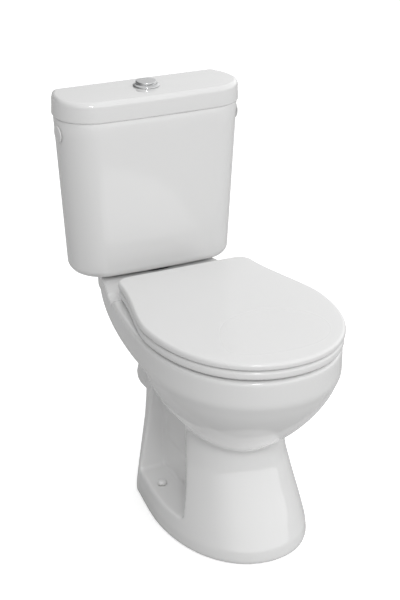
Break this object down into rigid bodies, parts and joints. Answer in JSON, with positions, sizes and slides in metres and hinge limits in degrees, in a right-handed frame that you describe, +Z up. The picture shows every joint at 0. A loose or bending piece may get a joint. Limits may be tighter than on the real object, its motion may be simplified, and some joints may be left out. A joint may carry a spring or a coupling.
{
  "type": "close coupled toilet",
  "caption": "Floor-standing toilet pan with a horizontal outlet, a coupled dual flush cistern, push button, and hinged seat and lid.",
  "frame": {"origin": "on the floor, in the middle of the overall width and depth", "axes": "+Z up, -Y to the front of the pan, +Y to the wall, +X to the right of someone facing it"},
  "size_m": [0.385, 0.681, 0.784],
  "materials": {
    "china": "white glaze, high gloss",
    "seat_plastic": "white, gloss",
    "chrome": "polished",
    "white_plastic": "moulded, satin",
    "grey_plastic": "moulded, satin",
    "black_rubber": "matte",
    "foam": "closed-cell foam",
    "steel": "zinc plated",
    "clear_rubber": "translucent, satin"
  },
  "bodies": {
    "china": {"pan": "china", "cistern": "china", "blanking_plug_left": "seat_plastic", "blanking_plug_right": "seat_plastic", "screw_cap_left": "seat_plastic", "screw_cap_right": "seat_plastic", "hinge_post_left": "chrome", "hinge_post_right": "chrome", "flush_valve_body": "white_plastic", "fill_valve_body": "white_plastic", "fill_valve_nut": "white_plastic", "cistern_wing_nut_left": "white_plastic", "cistern_wing_nut_right": "white_plastic", "floor_bush_left": "white_plastic", "floor_bush_right": "white_plastic", "flush_valve_nut": "grey_plastic", "flush_valve_washer": "black_rubber", "fill_valve_washer": "black_rubber", "cistern_bolt_seal_left": "black_rubber", "cistern_bolt_seal_right": "black_rubber", "cistern_bolt_washer_left": "black_rubber", "cistern_bolt_washer_right": "black_rubber", "hinge_sleeve_left": "black_rubber", "hinge_sleeve_right": "black_rubber", "coupling_gasket": "foam", "cistern_bolt_left": "steel", "cistern_bolt_right": "steel", "floor_screw_left": "steel", "floor_screw_right": "steel", "hinge_stud_left": "steel", "hinge_stud_right": "steel", "hinge_pin_left": "steel", "hinge_pin_right": "steel", "lever_pin": "steel"},
    "cistern_lid": {"cistern_lid": "china", "button_bezel": "chrome", "bezel_nut": "grey_plastic"},
    "full_flush_button": {"full_flush_button": "chrome", "full_flush_rod": "white_plastic"},
    "half_flush_button": {"half_flush_button": "chrome", "half_flush_rod": "white_plastic"},
    "rocker": {"rocker": "grey_plastic"},
    "lift_tube": {"lift_tube": "grey_plastic", "valve_seal": "black_rubber"},
    "float": {"float_cup": "grey_plastic", "float_link": "white_plastic"},
    "float_lever": {"float_lever": "white_plastic"},
    "seat": {"seat": "seat_plastic", "seat_bumper_rear_left": "clear_rubber", "seat_bumper_rear_right": "clear_rubber", "seat_bumper_front_left": "clear_rubber", "seat_bumper_front_right": "clear_rubber"},
    "seat_lid": {"seat_lid": "seat_plastic", "lid_bumper_left": "clear_rubber", "lid_bumper_right": "clear_rubber"}
  },
  "joints": [
    {"name": "seat_hinge", "type": "hinge", "parent": "china", "child": "seat", "pos_m": [0, 0.1325, 0.432], "axis": [1, 0, 0], "range_deg": [-96, 0]},
    {"name": "lid_hinge", "type": "hinge", "parent": "seat", "child": "seat_lid", "pos_m": [0, 0.1325, 0.432], "axis": [-1, 0, 0], "range_deg": [0, 96]},
    {"name": "cistern_lid_lift", "type": "slide", "parent": "china", "child": "cistern_lid", "axis": [0, 0, 1], "range_m": [0, 0.15]},
    {"name": "full_flush_press", "type": "slide", "parent": "cistern_lid", "child": "full_flush_button", "axis": [0, 0, -1], "range_m": [0, 0.006], "stiffness_N_per_m": 200, "springref_m": -0.004},
    {"name": "half_flush_press", "type": "slide", "parent": "cistern_lid", "child": "half_flush_button", "axis": [0, 0, -1], "range_m": [0, 0.006], "stiffness_N_per_m": 200, "springref_m": -0.004},
    {"name": "rocker_tilt", "type": "hinge", "parent": "china", "child": "rocker", "pos_m": [0.002, 0.2705, 0.612], "axis": [0, 1, 0], "range_deg": [0, 26.5]},
    {"name": "valve_lift", "type": "slide", "parent": "china", "child": "lift_tube", "axis": [0, 0, 1], "range_m": [0, 0.012]},
    {"name": "float_travel", "type": "slide", "parent": "china", "child": "float", "axis": [0, 0, 1], "range_m": [-0.008, 0]},
    {"name": "float_lever_tilt", "type": "hinge", "parent": "china", "child": "float_lever", "pos_m": [0.132, 0.2705, 0.642], "axis": [0, 1, 0], "range_deg": [-21, 0]}
  ],
  "couplings": [
    {"joint": "rocker_tilt", "follows": "full_flush_press", "rad_per_m": 76.92},
    {"joint": "valve_lift", "follows": "full_flush_press", "ratio": 2},
    {"joint": "float_lever_tilt", "follows": "float_travel", "rad_per_m": 45.455}
  ]
}
